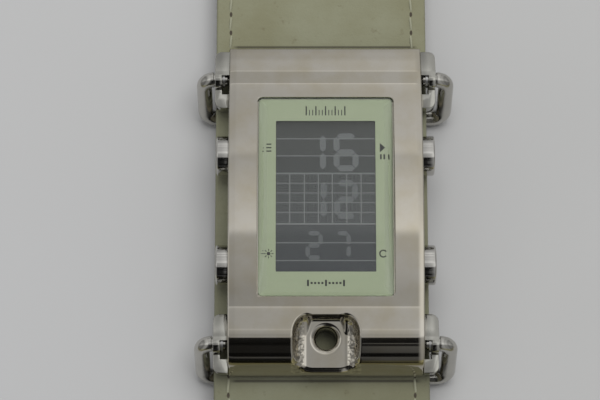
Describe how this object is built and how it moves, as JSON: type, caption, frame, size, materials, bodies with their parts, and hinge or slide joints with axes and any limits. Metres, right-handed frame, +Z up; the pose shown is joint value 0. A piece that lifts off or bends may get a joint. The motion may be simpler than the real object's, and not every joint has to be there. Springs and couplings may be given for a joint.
{
  "type": "digital wristwatch",
  "caption": "Wristwatch with a curved steel case, a digital display, side pushers and a lanyard socket, on a wide leather strap held by swinging wire rings and closed by a buckle.",
  "frame": {"origin": "middle of the laid-out watch, on the surface it lies on; the middle of the case is above it", "axes": "+X across the wrist to the 3 o'clock side, +Y along the strap to 12 o'clock and the buckle, +Z up out of the display"},
  "size_m": [0.0406, 0.244, 0.015],
  "materials": {
    "plate_steel": "satin steel with a warm tint",
    "polished_steel": "mirror polish",
    "brushed_steel": "plain brushed steel",
    "crystal_glass": "clear mineral glass",
    "mint_print": "satin print",
    "display_glass": "grey display glass",
    "black_rubber": "matt",
    "white_plastic": "moulded",
    "green_board": "solder mask",
    "black_plastic": "moulded",
    "brass_sheet": "rolled",
    "sage_leather": "fine grain, slightly stained",
    "lining_leather": "smooth lining"
  },
  "bodies": {
    "case": {"front_plate": "plate_steel", "case_middle": "brushed_steel", "case_back": "brushed_steel", "back_gasket": "black_rubber", "case_screws": "brushed_steel", "crystal": "crystal_glass", "crystal_gasket": "black_rubber", "dial_mask": "mint_print", "lcd_panel": "display_glass", "zebra_strips": "black_rubber", "backlight_panel": "white_plastic", "module_frame": "white_plastic", "circuit_board": "green_board", "driver_chip": "black_plastic", "quartz_can": "brushed_steel", "battery": "brushed_steel", "battery_clip": "brass_sheet", "buzzer_disc": "brass_sheet", "switch_leaves": "brass_sheet", "pusher_seals": "black_rubber", "mode_spring": "brushed_steel", "start_spring": "brushed_steel", "light_spring": "brushed_steel", "reset_spring": "brushed_steel", "upper_left_lug": "polished_steel", "upper_right_lug": "polished_steel", "lower_left_lug": "polished_steel", "lower_right_lug": "polished_steel"},
    "mode_button": {"mode_pusher": "polished_steel", "mode_clip": "brushed_steel"},
    "start_button": {"start_pusher": "polished_steel", "start_clip": "brushed_steel"},
    "light_button": {"light_pusher": "polished_steel", "light_clip": "brushed_steel"},
    "reset_button": {"reset_pusher": "polished_steel", "reset_clip": "brushed_steel"},
    "upper_loop": {"upper_ring": "polished_steel", "upper_ring_clips": "brushed_steel"},
    "lower_loop": {"lower_ring": "polished_steel", "lower_ring_clips": "brushed_steel"},
    "strap": {"strap_outer": "sage_leather", "strap_lining": "lining_leather", "fixed_keeper": "sage_leather"},
    "loose_keeper": {"free_keeper": "sage_leather"},
    "buckle": {"buckle_frame": "polished_steel", "buckle_bar": "brushed_steel"},
    "tongue": {"buckle_tongue": "polished_steel"}
  },
  "joints": [
    {"name": "mode_press", "type": "slide", "parent": "case", "child": "mode_button", "axis": [1, 0, 0], "range_m": [0, 0.0008], "stiffness_N_per_m": 1500, "springref_m": -0.0004, "deforming": ["mode_spring"]},
    {"name": "start_press", "type": "slide", "parent": "case", "child": "start_button", "axis": [-1, 0, 0], "range_m": [0, 0.0008], "stiffness_N_per_m": 1500, "springref_m": -0.0004, "deforming": ["start_spring"]},
    {"name": "light_press", "type": "slide", "parent": "case", "child": "light_button", "axis": [1, 0, 0], "range_m": [0, 0.0008], "stiffness_N_per_m": 1500, "springref_m": -0.0004, "deforming": ["light_spring"]},
    {"name": "reset_press", "type": "slide", "parent": "case", "child": "reset_button", "axis": [-1, 0, 0], "range_m": [0, 0.0008], "stiffness_N_per_m": 1500, "springref_m": -0.0004, "deforming": ["reset_spring"]},
    {"name": "upper_ring_swing", "type": "hinge", "parent": "case", "child": "upper_loop", "pos_m": [0, 0.0209, 0.0095], "axis": [1, 0, 0], "range_deg": [-2.5, 56]},
    {"name": "lower_ring_swing", "type": "hinge", "parent": "case", "child": "lower_loop", "pos_m": [0, -0.0209, 0.0095], "axis": [1, 0, 0], "range_deg": [-2.5, 56]},
    {"name": "strap_slide", "type": "slide", "parent": "case", "child": "strap", "axis": [0, 1, 0], "range_m": [-0.004, 0.004]},
    {"name": "keeper_slide", "type": "slide", "parent": "strap", "child": "loose_keeper", "axis": [0, 1, 0], "range_m": [-0.005, 0.005]},
    {"name": "buckle_swing", "type": "hinge", "parent": "strap", "child": "buckle", "pos_m": [-0.0006, 0.1102, 0.00335], "axis": [1, 0, 0], "range_deg": [-25, 90]},
    {"name": "tongue_lift", "type": "hinge", "parent": "buckle", "child": "tongue", "pos_m": [-0.0006, 0.1102, 0.00335], "axis": [1, 0, 0], "range_deg": [0, 45]}
  ]
}
